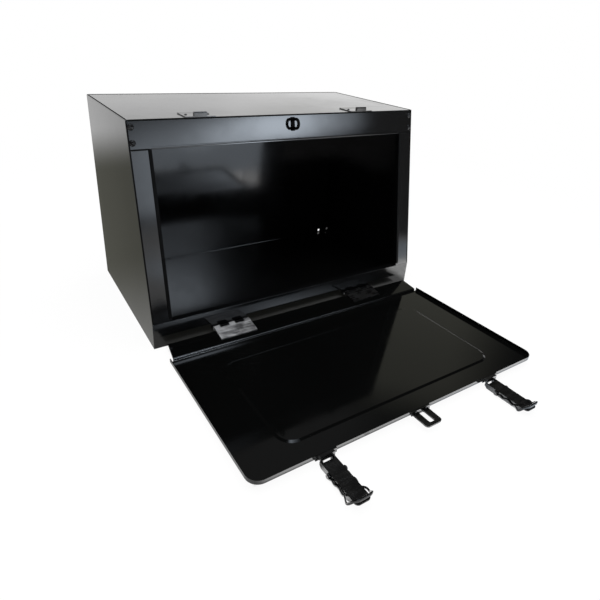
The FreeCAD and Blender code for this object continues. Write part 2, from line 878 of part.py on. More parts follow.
for name, side in sides.items():
    parts[name + "_end_panel"] = end_panel(side)
    parts[name + "_stile"] = stile(side)
spots = [spot for centre in latch_xs.values() for spot in strike_rivet_spots(centre)]
parts["top_panel"] = cut_fasteners(top_panel(), spots)
parts["back_panel"] = back_panel()
parts["bottom_panel"] = bottom_panel()
parts["top_rail"] = top_rail()
parts["bottom_rail"] = bottom_rail()
parts["stile_trim"] = Part.Compound(stile_trim())
parts["rail_screws"] = Part.Compound(rail_screws())
parts["padlock_staple"] = padlock_staple()
parts["strike_rivets"] = Part.Compound(strike_rivets())
parts["door_pan"] = door_pan()
parts["hasp_plate"] = hasp_plate()
parts["hasp_rivets"] = Part.Compound(rim_rivets(hasp_rivet_spots(), hasp_thick))
parts["latch_rivets"] = Part.Compound(rim_rivets(latch_rivet_spots(), latch_base_thick))
for name, centre in hinge_xs.items():
    parts[name + "_hinge_fixed_leaf"] = hinge_fixed_leaf(centre)
    parts[name + "_hinge_door_leaf"] = hinge_door_leaf(centre)
    parts[name + "_hinge_pin"] = hinge_pin(centre)
for name, centre in latch_xs.items():
    parts[name + "_strike"] = strike(centre)
    parts[name + "_latch_base"] = latch_base(centre)
    parts[name + "_latch_pins"] = Part.Compound(latch_pins(centre))
    parts[name + "_latch_lever"] = latch_lever(centre)
    parts[name + "_bail_pins"] = Part.Compound(bail_pins(centre))
    parts[name + "_latch_bail"] = latch_bail(centre)

os.makedirs("parts", exist_ok=True)
for name, shape in parts.items():
    shape.exportStep("parts/" + name + ".step")
    box = shape.BoundBox
    print(name, shape.isValid(), len(shape.Solids), round(shape.Volume, 1),
          [round(v, 2) for v in (box.XMin, box.XMax, box.YMin, box.YMax, box.ZMin, box.ZMax)])
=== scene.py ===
import logging
import math
from dataclasses import dataclass, field
from enum import Enum
from typing import Sequence

import bpy
import numpy as np
from mathutils import Matrix


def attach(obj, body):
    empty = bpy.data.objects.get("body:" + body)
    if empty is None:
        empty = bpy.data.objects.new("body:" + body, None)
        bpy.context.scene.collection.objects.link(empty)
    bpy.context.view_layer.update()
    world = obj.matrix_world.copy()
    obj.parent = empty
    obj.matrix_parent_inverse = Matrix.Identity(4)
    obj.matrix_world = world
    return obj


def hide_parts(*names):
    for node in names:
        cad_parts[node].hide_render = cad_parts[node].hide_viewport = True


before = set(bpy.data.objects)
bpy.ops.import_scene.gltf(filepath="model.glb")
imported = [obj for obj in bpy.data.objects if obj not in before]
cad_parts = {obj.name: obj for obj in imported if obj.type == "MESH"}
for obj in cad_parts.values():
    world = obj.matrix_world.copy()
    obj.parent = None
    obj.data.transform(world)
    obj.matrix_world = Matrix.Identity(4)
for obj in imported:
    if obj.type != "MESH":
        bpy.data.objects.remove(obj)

Pair = tuple[float, float]
Triple = tuple[float, float, float]
Colour = Triple
Solid = tuple[np.ndarray, list]
Socket = bpy.types.NodeSocket
Node = bpy.types.Node
Material = bpy.types.Material
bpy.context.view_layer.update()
LOG = logging.getLogger("box")
SHARP_ANGLE = math.radians(38.0)
FLAT_OVAL = 2 / 3
STRIP_OVAL = 1 / 2
CARD_LIFT = 0.0001


class Body(Enum):
    """The bodies that the new pieces ride on."""

    BOX = "box"
    LEFT_BAIL = "left_bail"
    RIGHT_BAIL = "right_bail"


class Side(Enum):
    """The two ends of the box, as seen from the front."""

    LEFT = "left"
    RIGHT = "right"


class Slot(Enum):
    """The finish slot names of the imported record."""

    ENAMEL = "black_enamel"
    HARDWARE = "black_hardware"
    SCREWS = "black_screws"
    TRIM = "edge_trim"


class Graph:
    """Small helper that adds nodes to a shader tree and wires them."""

    def __init__(self, tree: bpy.types.NodeTree) -> None:
        """Keep the tree that nodes are added to."""
        self.tree = tree

    def add(self, kind: str, **settings: object) -> Node:
        """Add a node and set its properties and input defaults.

        Args:
            kind: The node's type name.
            **settings: Properties by name, and inputs as in_Name with spaces as underscores.

        Returns:
            The new node.
        """
        node = self.tree.nodes.new(kind)
        for key, value in settings.items():
            if key.startswith("in_"):
                node.inputs[key[3:].replace("_", " ")].default_value = value
            else:
                setattr(node, key, value)
        return node

    def wire(self, source: Socket, target: Socket) -> None:
        """Join an output to an input."""
        self.tree.links.new(source, target)

    def math(self, operation: str, first: object, second: object) -> Socket:
        """Add a Math node on two sockets or numbers.

        Args:
            operation: The Math node's operation.
            first: A socket or a number.
            second: A socket or a number.

        Returns:
            The result socket.
        """
        node = self.add("ShaderNodeMath", operation=operation)
        for slot, value in zip(node.inputs, (first, second)):
            if isinstance(value, Socket):
                self.wire(value, slot)
            else:
                slot.default_value = value
        return node.outputs[0]

    def remap(self, value: Socket, low: float, high: float,
              to_low: float, to_high: float) -> Socket:
        """Ease a value from one range to another.

        Args:
            value: The socket to remap.
            low: Value that gives to_low.
            high: Value that gives to_high.
            to_low: Result at low.
            to_high: Result at high.

        Returns:
            The result socket.
        """
        node = self.add("ShaderNodeMapRange", interpolation_type="SMOOTHSTEP")
        self.wire(value, node.inputs["Value"])
        for name, number in zip(("From Min", "From Max", "To Min", "To Max"),
                                (low, high, to_low, to_high)):
            node.inputs[name].default_value = number
        return node.outputs["Result"]

    def blend(self, factor: Socket, first: Colour | Socket, second: Colour) -> Socket:
        """Mix two colours by a varying factor.

        Args:
            factor: The mask socket.
            first: Colour or socket at mask 0.
            second: Colour at mask 1.

        Returns:
            The colour socket.
        """
        node = self.add("ShaderNodeMix", data_type="RGBA")
        self.wire(factor, node.inputs[0])
        if isinstance(first, Socket):
            self.wire(first, node.inputs[6])
        else:
            node.inputs[6].default_value = (*first, 1.0)
        node.inputs[7].default_value = (*second, 1.0)
        return node.outputs[2]

    def noise(self, place: Socket, **settings: float) -> Node:
        """Add a noise texture.

        Args:
            place: The coordinates it is read at.
            **settings: Inputs as in_Name.

        Returns:
            The noise node.
        """
        node = self.add("ShaderNodeTexNoise", **settings)
        self.wire(place, node.inputs["Vector"])
        return node

    def axes(self, place: Socket) -> bpy.types.NodeOutputs:
        """Split a vector.

        Args:
            place: The vector socket.

        Returns:
            Its X, Y and Z sockets by name.
        """
        split = self.add("ShaderNodeSeparateXYZ")
        self.wire(place, split.inputs[0])
        return split.outputs

    def cover(self, mask: Socket, under: Node, over: Node) -> None:
        """Make a mix of two shaders the material's surface.

        Args:
            mask: Share of the second shader.
            under: The first shader.
            over: The second shader.
        """
        mix = self.add("ShaderNodeMixShader")
        for source, slot in zip((mask, under.outputs[0], over.outputs[0]), mix.inputs):
            self.wire(source, slot)
        self.wire(mix.outputs[0], self.tree.nodes["Material Output"].inputs["Surface"])


def new_material(name: str) -> tuple[Material, Graph, Node]:
    """Start a material.

    Args:
        name: The material's name.

    Returns:
        The material, its graph and its Principled shader.
    """
    material = bpy.data.materials.new(name)
    material.use_nodes = True
    return material, Graph(material.node_tree), material.node_tree.nodes["Principled BSDF"]


def add_object(name: str, data: bpy.types.ID) -> bpy.types.Object:
    """Put a mesh, a light or a camera into the scene.

    Args:
        name: The object's name.
        data: What it shows.

    Returns:
        The object.
    """
    thing = bpy.data.objects.new(name, data)
    bpy.context.scene.collection.objects.link(thing)
    return thing


def new_group(name: str, inputs: dict[str, float], outputs: Sequence[str]) -> tuple[Graph, dict, dict]:
    """Start a shader node group with float sockets.

    Args:
        name: The group's name.
        inputs: Input names with their default numbers.
        outputs: Output names.

    Returns:
        The group's graph, its input sockets by name and its output sockets by name.
    """
    tree = bpy.data.node_groups.new(name, "ShaderNodeTree")
    for label, value in inputs.items():
        socket = tree.interface.new_socket(label, in_out="INPUT", socket_type="NodeSocketFloat")
        socket.default_value = value
    for label in outputs:
        tree.interface.new_socket(label, in_out="OUTPUT", socket_type="NodeSocketFloat")
    graph = Graph(tree)
    source = graph.add("NodeGroupInput")
    sink = graph.add("NodeGroupOutput")
    given = {label: source.outputs[label] for label in inputs}
    wanted = {label: sink.inputs[label] for label in outputs}
    return graph, given, wanted


def lacquer_group() -> bpy.types.NodeTree:
    """Build the sprayed-enamel skin: orange peel, wiping haze and fine dust on upward faces.

    Returns:
        The node group, with outputs Peel (height), Haze (roughness) and Dust (mask).
    """
    graph, given, wanted = new_group(
        "lacquer_skin",
        {"Peel Scale": 420.0, "Gloss": 0.1, "Haze Gain": 0.06, "Dust Amount": 0.2},
        ("Peel", "Haze", "Dust"))
    place = graph.add("ShaderNodeTexCoord").outputs["Object"]
    peel = graph.noise(place, in_Detail=1.0, in_Roughness=0.4)
    graph.wire(given["Peel Scale"], peel.inputs["Scale"])
    graph.wire(peel.outputs["Fac"], wanted["Peel"])
    wipe = graph.noise(place, in_Scale=7.0, in_Detail=5.0, in_Roughness=0.62)
    haze = graph.remap(wipe.outputs["Fac"], 0.38, 0.68, 0.0, 1.0)
    gain = graph.math("MULTIPLY", haze, given["Haze Gain"])
    graph.wire(graph.math("ADD", gain, given["Gloss"]), wanted["Haze"])
    specks = graph.noise(place, in_Scale=900.0, in_Detail=2.0)
    drift = graph.noise(place, in_Scale=11.0, in_Detail=3.0)
    grains = graph.remap(specks.outputs["Fac"], 0.62, 0.78, 0.0, 1.0)
    drifts = graph.remap(drift.outputs["Fac"], 0.45, 0.7, 0.1, 1.0)
    normal = graph.add("ShaderNodeNewGeometry").outputs["Normal"]
    level = graph.remap(graph.axes(normal)["Z"], 0.5, 0.95, 0.0, 1.0)
    dust = graph.math("MULTIPLY", graph.math("MULTIPLY", grains, drifts), level)
    graph.wire(graph.math("MULTIPLY", dust, given["Dust Amount"]), wanted["Dust"])
    return graph.tree


def rubbed_group() -> bpy.types.NodeTree:
    """Build the rubbed-metal effect: fine drawn streaks, blotches and small nicks.

    Returns:
        The node group, with outputs Streak (mask), Sheen (roughness) and Grain (height).
    """
    graph, given, wanted = new_group(
        "rubbed_metal",
        {"Streak Scale": 260.0, "Smooth": 0.2, "Rough Gain": 0.2},
        ("Streak", "Sheen", "Grain"))
    place = graph.add("ShaderNodeTexCoord").outputs["Object"]
    stretch = graph.add("ShaderNodeMapping", in_Scale=(0.12, 1.0, 1.0))
    graph.wire(place, stretch.inputs["Vector"])
    streak = graph.noise(stretch.outputs["Vector"], in_Detail=4.0, in_Roughness=0.6)
    graph.wire(given["Streak Scale"], streak.inputs["Scale"])
    blotch = graph.noise(place, in_Scale=55.0, in_Detail=4.0)
    both = graph.math("MULTIPLY", graph.math("ADD", streak.outputs["Fac"], blotch.outputs["Fac"]), 0.5)
    mask = graph.remap(both, 0.36, 0.64, 0.0, 1.0)
    graph.wire(mask, wanted["Streak"])
    graph.wire(graph.math("ADD", graph.math("MULTIPLY", mask, given["Rough Gain"]), given["Smooth"]),
               wanted["Sheen"])
    graph.wire(streak.outputs["Fac"], wanted["Grain"])
    return graph.tree


@dataclass(frozen=True)
class LacquerFinish:
    """Glossy sprayed enamel on sheet steel."""

    name: str
    body: Colour
    shade: Colour
    dusty: Colour = (0.09, 0.09, 0.085)
    gloss: float = 0.09
    haze: float = 0.06
    peel_scale: float = 420.0
    peel_depth: float = 0.00002
    peel_strength: float = 0.12
    dust: float = 0.2
    ior: float = 1.5

    def make(self, group: bpy.types.NodeTree) -> Material:
        """Build the material.

        Args:
            group: The lacquer_skin node group.

        Returns:
            The enamel material.
        """
        material, graph, shader = new_material(self.name)
        skin = graph.add("ShaderNodeGroup", node_tree=group, in_Peel_Scale=self.peel_scale,
                         in_Gloss=self.gloss, in_Haze_Gain=self.haze, in_Dust_Amount=self.dust)
        place = graph.add("ShaderNodeTexCoord").outputs["Object"]
        tone = graph.noise(place, in_Scale=4.0, in_Detail=3.0)
        paint = graph.blend(tone.outputs["Fac"], self.body, self.shade)
        graph.wire(graph.blend(skin.outputs["Dust"], paint, self.dusty), shader.inputs["Base Color"])
        graph.wire(skin.outputs["Haze"], shader.inputs["Roughness"])
        bump = graph.add("ShaderNodeBump", in_Strength=self.peel_strength, in_Distance=self.peel_depth)
        graph.wire(skin.outputs["Peel"], bump.inputs["Height"])
        graph.wire(bump.outputs["Normal"], shader.inputs["Normal"])
        shader.inputs["IOR"].default_value = self.ior
        return material


@dataclass(frozen=True)
class MetalFinish:
    """Plated, blackened or painted small metalwork with rubbed streaks."""

    name: str
    body: Colour
    rubbed: Colour
    metallic: float
    smooth: float
    rough_gain: float
    streak_scale: float = 260.0
    grain_strength: float = 0.15
    grain_depth: float = 0.00005
    ior: float = 1.5

    def make(self, group: bpy.types.NodeTree) -> Material:
        """Build the material.

        Args:
            group: The rubbed_metal node group.

        Returns:
            The metal material.
        """
        material, graph, shader = new_material(self.name)
        wear = graph.add("ShaderNodeGroup", node_tree=group, in_Streak_Scale=self.streak_scale,
                         in_Smooth=self.smooth, in_Rough_Gain=self.rough_gain)
        graph.wire(graph.blend(wear.outputs["Streak"], self.body, self.rubbed), shader.inputs["Base Color"])
        graph.wire(wear.outputs["Sheen"], shader.inputs["Roughness"])
        bump = graph.add("ShaderNodeBump", in_Strength=self.grain_strength, in_Distance=self.grain_depth)
        graph.wire(wear.outputs["Grain"], bump.inputs["Height"])
        graph.wire(bump.outputs["Normal"], shader.inputs["Normal"])
        shader.inputs["Metallic"].default_value = self.metallic
        shader.inputs["IOR"].default_value = self.ior
        return material


@dataclass
class Paintshop:
    """Every finish of the box, made once."""

    case: LacquerFinish = LacquerFinish("case_enamel", (0.0016, 0.0017, 0.0019), (0.0026, 0.0027, 0.0029))
    inside: LacquerFinish = LacquerFinish("door_enamel", (0.0011, 0.0012, 0.0012), (0.0019, 0.002, 0.002),
                                          gloss=0.06, haze=0.05, dust=0.06)
    hardware: MetalFinish = MetalFinish("black_hardware", (0.002, 0.002, 0.0021), (0.005, 0.005, 0.005),
                                        0.0, 0.12, 0.14)
    screws: MetalFinish = MetalFinish("black_screw", (0.012, 0.012, 0.013), (0.03, 0.03, 0.03),
                                      0.6, 0.2, 0.15)
    zinc: MetalFinish = MetalFinish("zinc_plate", (0.02, 0.02, 0.021), (0.29, 0.295, 0.305), 0.1, 0.35, 0.2)
    # Darker copy of the zinc plate for the right hinge leaf: painted shade.
    shaded_zinc: MetalFinish = MetalFinish("zinc_painted_shade", (0.004, 0.004, 0.004), (0.014, 0.014, 0.014),
                                      0.4, 0.2, 0.2)
    trim: MetalFinish = MetalFinish("trim_rubber", (0.001, 0.001, 0.001), (0.002, 0.002, 0.002),
                                    0.0, 0.6, 0.2, ior=1.18)
    made: dict[str, Material] = field(default_factory=dict)

    def build(self) -> None:
        """Make the node groups and the materials."""
        lacquer = lacquer_group()
        rubbed = rubbed_group()
        for finish in (self.case, self.inside):
            self.made[finish.name] = finish.make(lacquer)
        for finish in (self.hardware, self.screws, self.zinc, self.shaded_zinc, self.trim):
            self.made[finish.name] = finish.make(rubbed)

    def dress(self, node: str, finish: object) -> None:
        """Give a CAD node its finish.

        Args:
            node: The node's name.
            finish: The finish to put on it.
        """
        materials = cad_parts[node].data.materials
        materials.clear()
        materials.append(self.made[finish.name])
        LOG.info("%s dressed in %s", node, finish.name)


@dataclass(frozen=True)
class FrontPlane:
    """The leaning front of the case, in metres."""

    knee_y: float = -0.173
    knee_z: float = 0.049
    lean: float = 0.065
    rise: float = 0.341
    half_width: float = 0.305
    stile_width: float = 0.036
    rail_height: float = 0.047

    @property
    def mouth_half(self) -> float:
        """Half the width of the mouth, between the uprights."""
        return self.half_width - self.stile_width

    @property
    def rail_foot(self) -> float:
        """Place of the top rail's lower edge up the slant."""
        return self.slant - self.rail_height

    @property
    def angle(self) -> float:
        """Lean of the front from upright, in radians."""
        return math.atan2(self.lean, self.rise)

    @property
    def slant(self) -> float:
        """Length of the front from the knee to the top edge."""
        return math.hypot(self.lean, self.rise)

    def place(self, points: Sequence) -> np.ndarray:
        """Turn front coordinates into the shared frame.

        With up the slant s and out from it d: y = knee_y + s sin(a) - d cos(a),
        z = knee_z + s cos(a) + d sin(a).

        Args:
            points: Rows of x, d and s, any leading shape.

        Returns:
            Rows of x, y and z of the same shape.
        """
        x, d, s = np.moveaxis(points, -1, 0)
        y = self.knee_y + s * math.sin(self.angle) - d * math.cos(self.angle)
        z = self.knee_z + s * math.cos(self.angle) + d * math.sin(self.angle)
        return np.stack([x, y, z], axis=-1)


def smooth_step(q: np.ndarray) -> np.ndarray:
    """Ease from 0 to 1: S(q) = 3 q^2 - 2 q^3, with q held to 0 to 1."""
    q = np.clip(q, 0.0, 1.0)
    return q * q * (3.0 - 2.0 * q)


def oval(count: int, power: float) -> tuple[np.ndarray, np.ndarray]:
    """Lay out a rounded section of half sides 1: |u|^n + |v|^n = 1, with n = 2 / power.

    Args:
        count: Points round the section.
        power: 1 for a round section, less for a squarer one.

    Returns:
        u and v of the points.
    """
    turn = np.linspace(0.0, 2 * math.pi, count, endpoint=False)
    cos, sin = np.cos(turn), np.sin(turn)
    return np.sign(cos) * np.abs(cos) ** power, np.sign(sin) * np.abs(sin) ** power


def closed_rows(rows: np.ndarray) -> Solid:
    """Skin a stack of closed rings and cap each end with a fan round its ring's middle.

    Ring i, point j joins to ring i + 1, point j + 1, with j wrapping round.

    Args:
        rows: Rings of points, shaped rings by points by 3.

    Returns:
        The vertices and the faces, turned outwards.
    """
    count, around, _ = rows.shape
    verts = np.concatenate([rows.reshape(-1, 3), rows[[0, -1]].mean(1)])
    i, j = np.meshgrid(np.arange(count - 1), np.arange(around), indexing="ij")
    after = (j + 1) % around
    here, above = i * around, (i + 1) * around
    quads = np.stack([here + j, here + after, above + after, above + j], -1)
    ring = np.arange(around)
    following = (ring + 1) % around
    base = (count - 1) * around
    head = np.stack([np.full(around, count * around), following, ring], -1)
    tail = np.stack([np.full(around, count * around + 1), base + ring, base + following], -1)
    quads = quads.reshape(-1, 4)
    triangles = np.concatenate([quads[:, [0, 1, 2]], quads[:, [0, 2, 3]], head, tail])
    corner = verts[triangles]
    volume = np.einsum("ij,ij->", corner[:, 0], np.cross(corner[:, 1], corner[:, 2]))
    faces = [quads, head, tail]
    if volume < 0:
        faces = [part[:, ::-1] for part in faces]
    return verts, [face for part in faces for face in part.tolist()]


def make_piece(name: str, solids: Sequence[Solid], material: Material,
               body: Body, stands_for: Sequence[str] = ()) -> bpy.types.Object:
    """Make one smooth-shaded piece from closed skins and let it ride on a body.

    Args:
        name: The piece's name.
        solids: Vertices and faces of each closed skin.
        material: Its finish.
        body: The body that carries it.
        stands_for: CAD nodes that it replaces.

    Returns:
        The new object.
    """
    starts = np.cumsum([0] + [len(verts) for verts, _ in solids])
    verts = np.concatenate([verts for verts, _ in solids])
    faces = [[corner + int(start) for corner in face]
             for (_, part), start in zip(solids, starts) for face in part]
    mesh = bpy.data.meshes.new(name)
    mesh.from_pydata(verts.tolist(), [], faces)
    mesh.polygons.foreach_set("use_smooth", np.ones(len(faces), dtype=bool))
    mesh.set_sharp_from_angle(angle=SHARP_ANGLE)
    mesh.materials.append(material)
    piece = add_object(name, mesh)
    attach(piece, body.value)
    if stands_for:
        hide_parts(*stands_for)
    LOG.info("%s built with %d faces", name, len(faces))
    return piece


@dataclass
class RailScrews:
    """Cross-recessed domed screws at the ends of the top rail."""

    head_radius: float = 0.00525
    head_height: float = 0.0026
    skirt: float = 0.0006
    reach: float = 0.298
    lows: Pair = (0.011, 0.0355)
    arm_half_length: float = 0.0029
    arm_half_width: float = 0.00075
    recess: float = 0.0014
    edge_blend: float = 0.0003
    core: float = 0.02
    dome_power: float = 2.6
    first_turn: float = 0.4
    turn_step: float = 0.9
    rings: int = 26
    around: int = 72

    def arm(self, long: np.ndarray, wide: np.ndarray) -> np.ndarray:
        """Mask one arm of the cross: a product of two steps 0.5 - 0.5 tanh((|q| - half) / blend)."""
        halves = ((long, self.arm_half_length), (wide, self.arm_half_width))
        return math.prod(0.5 - 0.5 * np.tanh((np.abs(q) - half) / self.edge_blend) for q, half in halves)

    def head(self, x: float, s: float, turn: float, plane: FrontPlane) -> Solid:
        """Work out one screw head.

        With q = r / R the dome is h = skirt (1.5 - q) + H (1 - q^n), less a cross of two
        arms in the turned head coordinates.

        Args:
            x: Place across the box.
            s: Height up the slant.
            turn: Angle of the cross, in radians.
            plane: The leaning front.

        Returns:
            Vertices and faces of the closed head.
        """
        q = np.linspace(self.core, 1.0, self.rings)[:, None]
        r = q * self.head_radius
        a = np.linspace(0.0, 2 * math.pi, self.around, endpoint=False)[None, :]
        u = r * np.cos(a - turn)
        v = r * np.sin(a - turn)
        cross = np.maximum(self.arm(u, v), self.arm(v, u))
        dome = self.skirt * (1.5 - q) + self.head_height * (1 - q ** self.dome_power)
        depth = dome - self.recess * cross
        top = np.stack([x + r * np.cos(a), depth, s + r * np.sin(a)], -1)
        foot = top[-1:].copy()
        foot[..., 1] = 0.0
        return closed_rows(plane.place(np.concatenate([top, foot])))

    def build(self, shop: Paintshop, plane: FrontPlane) -> None:
        """Make the four screws as one piece.

        Args:
            shop: The finishes.
            plane: The leaning front.
        """
        spots = [(sign * self.reach, plane.rail_foot + low) for sign in (-1, 1) for low in self.lows]
        solids = [self.head(x, s, self.first_turn + self.turn_step * k, plane)
                  for k, (x, s) in enumerate(spots)]
        make_piece("rail_screw_heads", solids, shop.made[shop.screws.name], Body.BOX,
                   ("rail_screws",))


@dataclass
class MouthTrim:
    """Soft edging strips along both uprights of the mouth."""

    width: float = 0.006
    thick: float = 0.0012
    end_gap: float = 0.004
    end_share: float = 0.25
    rows: int = 64
    around: int = 20

    def strip(self, sign: int, plane: FrontPlane) -> Solid:
        """Work out one strip.

        A flat oval |x / a|^3 + |d / b|^3 = 1 is carried up the slant to the rail, and drawn
        in over its first few millimetres.

        Args:
            sign: -1 for the left upright, 1 for the right.
            plane: The leaning front.

        Returns:
            Vertices and faces of the closed strip.
        """
        low, high = self.end_gap, plane.rail_foot
        t = np.linspace(0.0, 1.0, self.rows)[:, None]
        s = low + (high - low) * (0.5 - 0.5 * np.cos(np.pi * t))
        grow = self.end_share + (1 - self.end_share) * np.sqrt(np.clip((s - low) / self.width, 0.0, 1.0))
        across, out = oval(self.around, FLAT_OVAL)
        middle = sign * (plane.mouth_half + self.width / 2)
        x = middle + across * grow * self.width / 2
        d = self.thick / 2 + out * grow * self.thick / 2
        return closed_rows(plane.place(np.stack([x, d, s + 0 * x], -1)))

    def build(self, shop: Paintshop, plane: FrontPlane) -> None:
        """Make both strips as one piece."""
        solids = [self.strip(sign, plane) for sign in (-1, 1)]
        make_piece("mouth_trim", solids, shop.made[shop.trim.name], Body.BOX, ("stile_trim",))


@dataclass
class RailHem:
    """Rolled edge along the foot of the top rail, between the uprights."""

    sunk: float = 0.00025
    rise: float = 0.0038
    half_thick: float = 0.00065
    upper: float = 0.0003
    lower: float = 0.0046
    around: int = 48

    def build(self, shop: Paintshop, plane: FrontPlane) -> None:
        """Carry a section along the edge: d = a cos(q) - sunk, s = foot + rise + b sin(q).

        The half height b is upper where sin(q) is positive and lower elsewhere.

        Args:
            shop: The finishes.
            plane: The leaning front.
        """
        across, upward = oval(self.around, 1.0)
        d = self.half_thick * across - self.sunk
        s = plane.rail_foot + self.rise + np.where(upward > 0, self.upper, self.lower) * upward
        ends = [np.stack([np.full(self.around, sign * plane.mouth_half), d, s], -1) for sign in (-1, 1)]
        solid = closed_rows(plane.place(np.stack(ends)))
        make_piece("rail_hem", [solid], shop.made[shop.case.name], Body.BOX)


@dataclass
class SeamBeads:
    """Enamelled welds along the inside corners of the case."""

    radius: float = 0.0022
    half_width: float = 0.3035
    back: float = 0.1715
    front: float = -0.157
    floor: float = 0.0015
    ripple: float = 0.00018
    ripple_pitch: float = 0.009
    step: float = 0.0015
    around: int = 14

    def bead(self, start: Sequence[float], end: Sequence[float], first: Sequence[float],
             second: Sequence[float]) -> Solid:
        """Work out one straight bead in an inside corner.

        The section is a quarter disc of radius R + ripple sin(2 pi t / pitch), whose two
        straight sides lie against the walls.

        Args:
            start: Corner point where the bead starts.
            end: Corner point where it ends.
            first: Direction out from the corner along one wall.
            second: Direction out from the corner along the other wall.

        Returns:
            Vertices and faces of the closed bead.
        """
        a, b, e, f = np.array([start, end, first, second], float)
        length = float(np.linalg.norm(b - a))
        count = max(8, int(length / self.step))
        t = np.linspace(0.0, 1.0, count)
        bulge = self.radius + self.ripple * np.sin(2 * math.pi * t * length / self.ripple_pitch)
        arc = np.linspace(0.0, math.pi / 2, self.around)
        c = np.concatenate([[0.0], np.cos(arc)])
        d = np.concatenate([[0.0], np.sin(arc)])
        line = a + (b - a) * t[:, None]
        rows = line[:, None, :] + bulge[:, None, None] * (c[None, :, None] * e + d[None, :, None] * f)
        return closed_rows(rows)

    def build(self, shop: Paintshop) -> None:
        """Make the beads round the floor as one piece.

        Args:
            shop: The finishes.
        """
        w, k, z = self.half_width, self.back, self.floor
        up, ahead = (0, 0, 1), (0, -1, 0)
        solids = [
            self.bead((-w, k, z), (w, k, z), up, ahead),
            self.bead((-w, self.front, z), (-w, k, z), up, (1, 0, 0)),
            self.bead((w, self.front, z), (w, k, z), up, (-1, 0, 0)),
        ]
        make_piece("seam_beads", solids, shop.made[shop.case.name], Body.BOX)


@dataclass
class JointShadowStrips:
    """Matte black strips along the outer joints of the case: painted shadow of the gaps between the panels.
    """

    back: float = 0.173
    front: float = -0.1078
    top: float = 0.39
    width: float = 0.0026
    thick: float = 0.0005
    inset: float = 0.0001
    end_share: float = 0.3
    step: float = 0.004
    around: int = 16

    def strip(self, ends: Sequence, across: np.ndarray, outward: np.ndarray) -> Solid:
        """Work out one strip that lies on a sheet.

        A flat oval |u / a|^3 + |v / b|^3 = 1 is carried along a straight joint, half of it
        sunk in the sheet, and drawn in over its last step at both ends.

        Args:
            ends: Joint points where the strip starts and ends.
            across: Direction across the strip, in the sheet.
            outward: Direction out of the sheet.

        Returns:
            Vertices and faces of the closed strip.
        """
        start, end = np.asarray(ends)
        length = float(np.linalg.norm(end - start))
        t = np.linspace(0.0, 1.0, max(8, int(length / self.step)))[:, None, None]
        inward = np.minimum(t, 1.0 - t) * length
        grow = self.end_share + (1 - self.end_share) * np.sqrt(np.clip(inward / self.width, 0.0, 1.0))
        u, v = oval(self.around, FLAT_OVAL)
        section = u[:, None] * self.width / 2 * across + v[:, None] * self.thick * outward
        return closed_rows(start + (end - start) * t + grow * section)

    def build(self, shop: Paintshop, plane: FrontPlane) -> None:
        """Make the strips of the top and of the front frame as one piece.

        Args:
            shop: The finishes.
            plane: The leaning front.
        """
        x_axis, y_axis, z_axis = np.eye(3)
        off = plane.half_width - self.width / 2 - self.inset
        low = plane.rail_foot
        high = plane.slant - self.width / 2 - self.inset
        slope, out = (plane.place(unit) - plane.place(np.zeros(3)) for unit in (z_axis, y_axis))
        solids = []
        for sign in (-1, 1):
            x = sign * off
            edge = [(x, self.front, self.top), (x, self.back, self.top)]
            solids.append(self.strip(edge, x_axis, z_axis))
            upright = plane.place([(x, 0.0, 0.0), (x, 0.0, high)])
            solids.append(self.strip(upright, x_axis, out))
            lap = plane.place([(sign * half, 0.0, low) for half in (plane.half_width, plane.mouth_half)])
            solids.append(self.strip(lap, slope, out))
        brow = plane.place([(-off, 0.0, high), (off, 0.0, high)])
        solids.append(self.strip(brow, slope, out))
        hind = self.back - self.width / 2 - self.inset
        solids.append(self.strip([(-off, hind, self.top), (off, hind, self.top)], y_axis, z_axis))
        # Painted shadow: dark matte strips laid where the panel joints fall into shade.
        make_piece("joint_shadow_strips", solids, shop.made[shop.trim.name], Body.BOX)


@dataclass
class Case:
    """The sheet-steel case with its front frame."""

    plane: FrontPlane = field(default_factory=FrontPlane)
    screws: RailScrews = field(default_factory=RailScrews)
    trim: MouthTrim = field(default_factory=MouthTrim)
    hem: RailHem = field(default_factory=RailHem)
    beads: SeamBeads = field(default_factory=SeamBeads)
    joint_shadow: JointShadowStrips = field(default_factory=JointShadowStrips)
    sheets: tuple[str, ...] = ("left_end_panel", "right_end_panel", "top_panel", "back_panel",
                               "bottom_panel", "top_rail", "bottom_rail", "left_stile", "right_stile")

    def build(self, shop: Paintshop) -> None:
        """Make the screws, the trim, the rail's hem, the seam beads and the painted joint shadow strips.

        Args:
            shop: The finishes.
        """
        self.screws.build(shop, self.plane)
        self.trim.build(shop, self.plane)
        self.hem.build(shop, self.plane)
        self.beads.build(shop)
        self.joint_shadow.build(shop, self.plane)

    def dress(self, shop: Paintshop) -> None:
        """Enamel the sheets and finish the screws, the trim and the staple.

        Args:
            shop: The finishes.
        """
        for node in self.sheets:
            shop.dress(node, shop.case)
        shop.dress("rail_screws", shop.screws)
        shop.dress("stile_trim", shop.trim)
        shop.dress("padlock_staple", shop.trim)


@dataclass
class Door:
    """The drop-down door with its hasp."""

    def dress(self, shop: Paintshop) -> None:
        """Enamel the pan and finish the hasp.

        Args:
            shop: The finishes.
        """
        shop.dress("door_pan", shop.inside)
        shop.dress("hasp_plate", shop.hardware)
        shop.dress("hasp_rivets", shop.zinc)


@dataclass
class Hinge:
    """One five-knuckle hinge."""

    side: Side

    def dress(self, shop: Paintshop) -> None:
        """Finish the two leaves and the pin; the right leaf gets a darker copy of the zinc plate, painted
        shade.

        Args:
            shop: The finishes.
        """
        # The right leaf takes the darker copy of the zinc: painted shade.
        leaf = shop.zinc if self.side is Side.LEFT else shop.shaded_zinc
        shop.dress(f"{self.side.value}_hinge_door_leaf", leaf)
        shop.dress(f"{self.side.value}_hinge_pin", shop.zinc)
        shop.dress(f"{self.side.value}_hinge_fixed_leaf", shop.trim)


